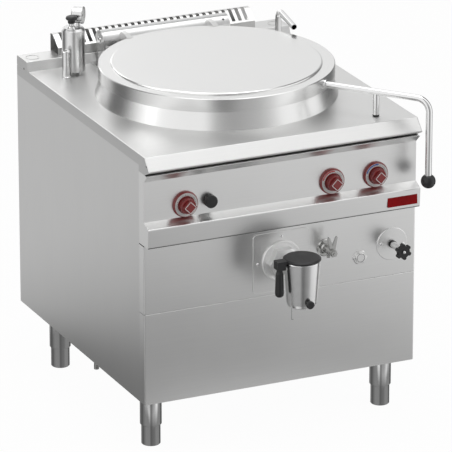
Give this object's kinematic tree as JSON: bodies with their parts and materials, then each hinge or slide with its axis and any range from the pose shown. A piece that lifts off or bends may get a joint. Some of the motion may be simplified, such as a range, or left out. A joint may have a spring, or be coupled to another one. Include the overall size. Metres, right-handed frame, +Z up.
{
  "type": "steam jacketed kettle",
  "caption": "Steam jacketed boiling kettle in a steel cabinet on legs, with hinged lid, swivel water spout, draw-off tap, safety valve, gauge and turning controls.",
  "frame": {"origin": "on the floor, in the middle of the four feet", "axes": "+Z up, the controls and the tap face -Y, +X to the operator's right"},
  "size_m": [0.8211, 1.047, 1.033],
  "materials": {
    "satin_steel": "satin, brushed one way",
    "pressed_steel": "satin, brighter",
    "polished_steel": "polished",
    "frame_steel": "grey, matt",
    "cast_iron": "rough, dark",
    "brass": "as cast and turned",
    "mineral_wool": "soft blanket",
    "black_plastic": "slightly glossy",
    "red_plastic": "dark red",
    "pale_plastic": "white, slightly glossy",
    "needle_black": "black",
    "rubber": "matt black"
  },
  "bodies": {
    "cabinet": {"base_frame": "frame_steel", "leg_sleeves": "polished_steel", "side_panel_left": "satin_steel", "side_panel_right": "satin_steel", "rear_panel": "satin_steel", "front_panel_upper": "satin_steel", "front_panel_lower": "satin_steel", "control_panel": "satin_steel", "worktop": "pressed_steel", "rear_ledge": "pressed_steel", "flue_grille": "satin_steel", "flue_duct": "frame_steel", "collar": "pressed_steel", "pan": "pressed_steel", "pan_outlet": "pressed_steel", "steam_jacket": "satin_steel", "insulation": "mineral_wool", "combustion_chamber": "frame_steel", "burner": "cast_iron", "valve_bodies": "brass", "gas_pipe": "frame_steel", "water_pipes": "satin_steel", "hinge_brackets": "polished_steel", "torsion_bar": "polished_steel", "spout_socket": "polished_steel", "safety_body": "polished_steel", "relief_tube": "polished_steel", "gauge_case": "polished_steel", "tap_plate": "satin_steel", "front_screws": "polished_steel", "tap_nut": "polished_steel", "tap_body": "polished_steel", "tap_peg": "black_plastic", "level_cock": "polished_steel", "fill_plug": "polished_steel", "drain_valve": "polished_steel", "knob_rings": "red_plastic", "igniter_bush": "polished_steel"},
    "lid": {"lid_shell": "pressed_steel", "lid_liner": "pressed_steel", "lid_arms": "pressed_steel", "hinge_barrel": "polished_steel", "lid_handle": "polished_steel", "handle_ball": "black_plastic", "rest_foot": "rubber"},
    "spout": {"spout": "polished_steel"},
    "gas_control": {"gas_knob": "red_plastic"},
    "hot_water_control": {"hot_water_knob": "red_plastic"},
    "cold_water_control": {"cold_water_knob": "red_plastic"},
    "igniter": {"igniter_button": "black_plastic"},
    "tap": {"tap_plug": "polished_steel", "tap_handle": "black_plastic"},
    "level_test": {"level_handle": "polished_steel"},
    "drain_control": {"drain_knob": "black_plastic"},
    "safety_pull": {"safety_knob": "black_plastic"},
    "needle": {"gauge_needle": "needle_black"},
    "foot_front_left": {"foot_front_left": "polished_steel"},
    "foot_front_right": {"foot_front_right": "polished_steel"},
    "foot_rear_left": {"foot_rear_left": "polished_steel"},
    "foot_rear_right": {"foot_rear_right": "polished_steel"}
  },
  "joints": [
    {"name": "lid_hinge", "type": "hinge", "parent": "cabinet", "child": "lid", "pos_m": [0, 0.367, 0.918], "axis": [-1, 0, 0], "range_deg": [0, 88]},
    {"name": "spout_swivel", "type": "hinge", "parent": "cabinet", "child": "spout", "pos_m": [0.312, 0.28, 0.9], "axis": [0, 0, 1], "range_deg": [-80, 45]},
    {"name": "gas_knob_turn", "type": "hinge", "parent": "cabinet", "child": "gas_control", "pos_m": [-0.281, -0.4, 0.703], "axis": [0, -1, 0], "range_deg": [0, 210]},
    {"name": "hot_water_turn", "type": "hinge", "parent": "cabinet", "child": "hot_water_control", "pos_m": [0.148, -0.4, 0.703], "axis": [0, -1, 0], "range_deg": [0, 270]},
    {"name": "cold_water_turn", "type": "hinge", "parent": "cabinet", "child": "cold_water_control", "pos_m": [0.278, -0.4, 0.703], "axis": [0, -1, 0], "range_deg": [0, 270]},
    {"name": "igniter_push", "type": "slide", "parent": "cabinet", "child": "igniter", "axis": [0, 1, 0], "range_m": [0, 0.005], "stiffness_N_per_m": 300, "springref_m": -0.002},
    {"name": "tap_lever_turn", "type": "hinge", "parent": "cabinet", "child": "tap", "pos_m": [0, -0.529, 0.5], "axis": [0, 0, 1], "range_deg": [0, 90]},
    {"name": "level_cock_turn", "type": "hinge", "parent": "cabinet", "child": "level_test", "pos_m": [0.13, -0.445, 0.517], "axis": [0, -1, 0], "range_deg": [0, 90]},
    {"name": "drain_knob_turn", "type": "hinge", "parent": "cabinet", "child": "drain_control", "pos_m": [0.33, -0.46, 0.497], "axis": [0, -1, 0], "range_deg": [0, 270]},
    {"name": "safety_lift", "type": "slide", "parent": "cabinet", "child": "safety_pull", "axis": [0, 0, 1], "range_m": [0, 0.006], "stiffness_N_per_m": 200, "springref_m": -0.005},
    {"name": "gauge_needle_turn", "type": "hinge", "parent": "cabinet", "child": "needle", "pos_m": [-0.266, 0.342, 1.009], "axis": [-0.7986, 0.6018, 0], "range_deg": [0, 270], "stiffness_Nm_per_rad": 0.0004},
    {"name": "foot_front_left_screw", "type": "slide", "parent": "cabinet", "child": "foot_front_left", "axis": [0, 0, -1], "range_m": [0, 0.05]},
    {"name": "foot_front_right_screw", "type": "slide", "parent": "cabinet", "child": "foot_front_right", "axis": [0, 0, -1], "range_m": [0, 0.05]},
    {"name": "foot_rear_left_screw", "type": "slide", "parent": "cabinet", "child": "foot_rear_left", "axis": [0, 0, -1], "range_m": [0, 0.05]},
    {"name": "foot_rear_right_screw", "type": "slide", "parent": "cabinet", "child": "foot_rear_right", "axis": [0, 0, -1], "range_m": [0, 0.05]}
  ]
}
